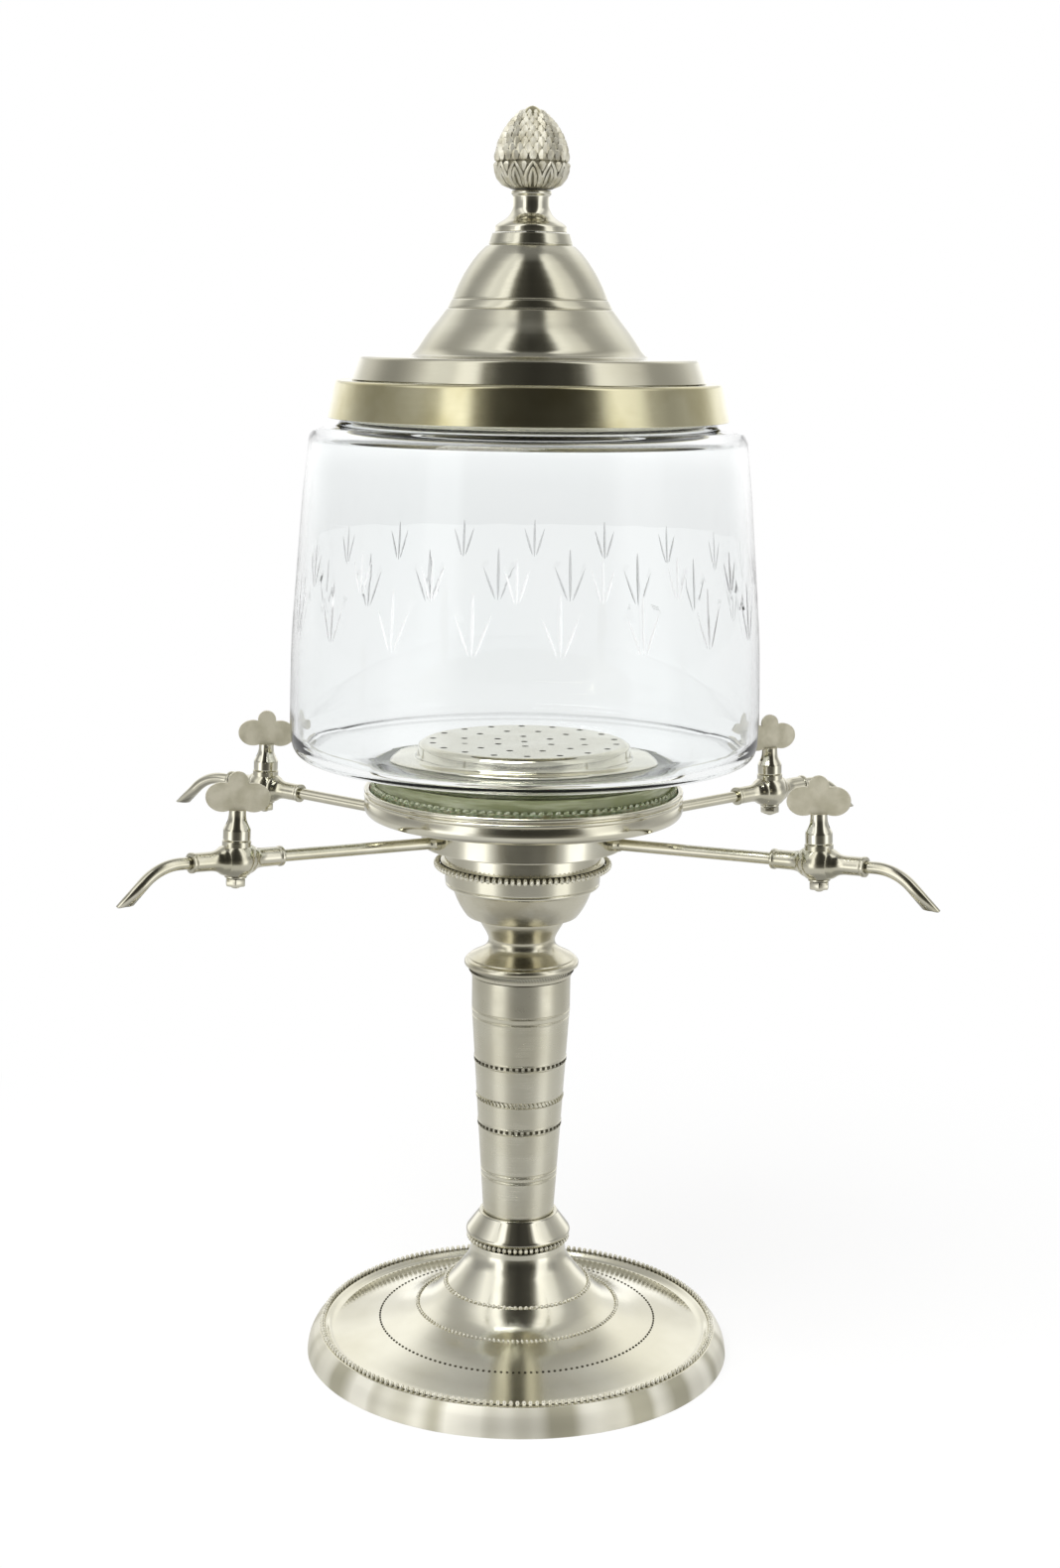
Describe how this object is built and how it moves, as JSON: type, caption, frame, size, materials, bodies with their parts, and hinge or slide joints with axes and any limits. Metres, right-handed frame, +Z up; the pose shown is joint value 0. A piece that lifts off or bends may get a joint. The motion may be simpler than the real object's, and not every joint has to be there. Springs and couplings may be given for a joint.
{
  "type": "absinthe fountain",
  "caption": "Absinthe fountain: a glass water jar with a conical lid on a tapered metal pedestal, and slender arms with plug taps and drooping spouts round the collar below it.",
  "frame": {"origin": "middle of the flat underside of the base", "axes": "+Z up the pedestal; +X to the right of the picture, with the taps at 33 degrees either side of the X axis; -Y towards the camera"},
  "size_m": [0.3278, 0.2146, 0.5499],
  "materials": {
    "satin_nickel": "nickel plate, satin",
    "polished_nickel": "nickel plate, polished",
    "cast_nickel": "nickel plate, matte cast",
    "aged_band": "nickel plate, worn warm",
    "clear_glass": "clear, cut decoration",
    "green_seal": "aged, translucent",
    "black_rubber": "matte",
    "green_felt": "felt",
    "bare_steel": "turned",
    "cast_iron": "painted"
  },
  "bodies": {
    "stand": {"arm_pipe_lb": "satin_nickel", "arm_pipe_lf": "satin_nickel", "arm_pipe_rb": "satin_nickel", "arm_pipe_rf": "satin_nickel", "base_felt": "green_felt", "base_rim_beading": "satin_nickel", "base_shell": "satin_nickel", "base_weight": "cast_iron", "bowl": "satin_nickel", "capital": "polished_nickel", "column": "satin_nickel", "drum": "satin_nickel", "drum_bead_ring": "satin_nickel", "gallery_dish": "satin_nickel", "glass_jar": "clear_glass", "jar_seal": "green_seal", "knop": "polished_nickel", "knop_bead_ring": "polished_nickel", "outlet_fitting": "bare_steel", "outlet_gasket": "black_rubber", "rope_collar": "satin_nickel", "strainer_cap": "polished_nickel", "tap_body_lb": "polished_nickel", "tap_body_lf": "polished_nickel", "tap_body_rb": "polished_nickel", "tap_body_rf": "polished_nickel", "tap_spout_lb": "satin_nickel", "tap_spout_lf": "satin_nickel", "tap_spout_rb": "satin_nickel", "tap_spout_rf": "satin_nickel", "tie_nut": "bare_steel", "tie_rod": "bare_steel", "tie_washer": "bare_steel"},
    "lid": {"lid_band": "aged_band", "lid_locating_ring": "satin_nickel", "lid_cone": "satin_nickel", "finial_neck": "polished_nickel", "finial_pinecone": "cast_nickel", "finial_stud": "bare_steel", "finial_washer": "bare_steel", "finial_nut": "bare_steel"},
    "key_lf": {"tap_key_lf": "polished_nickel", "tap_handle_lf": "cast_nickel", "tap_washer_lf": "satin_nickel", "tap_nut_lf": "satin_nickel"},
    "key_rf": {"tap_key_rf": "polished_nickel", "tap_handle_rf": "cast_nickel", "tap_washer_rf": "satin_nickel", "tap_nut_rf": "satin_nickel"},
    "key_rb": {"tap_key_rb": "polished_nickel", "tap_handle_rb": "cast_nickel", "tap_washer_rb": "satin_nickel", "tap_nut_rb": "satin_nickel"},
    "key_lb": {"tap_key_lb": "polished_nickel", "tap_handle_lb": "cast_nickel", "tap_washer_lb": "satin_nickel", "tap_nut_lb": "satin_nickel"}
  },
  "joints": [
    {"name": "lid_lift", "type": "slide", "parent": "stand", "child": "lid", "axis": [0, 0, 1], "range_m": [0, 0.1]},
    {"name": "key_turn_lf", "type": "hinge", "parent": "stand", "child": "key_lf", "pos_m": [-0.11909, -0.07734, 0.24523], "axis": [0.0366, 0.0238, 0.999], "continuous": true},
    {"name": "key_turn_rf", "type": "hinge", "parent": "stand", "child": "key_rf", "pos_m": [0.11909, -0.07734, 0.24523], "axis": [-0.0366, 0.0238, 0.999], "continuous": true},
    {"name": "key_turn_rb", "type": "hinge", "parent": "stand", "child": "key_rb", "pos_m": [0.11909, 0.07734, 0.24523], "axis": [-0.0366, -0.0238, 0.999], "continuous": true},
    {"name": "key_turn_lb", "type": "hinge", "parent": "stand", "child": "key_lb", "pos_m": [-0.11909, 0.07734, 0.24523], "axis": [0.0366, -0.0238, 0.999], "continuous": true}
  ]
}
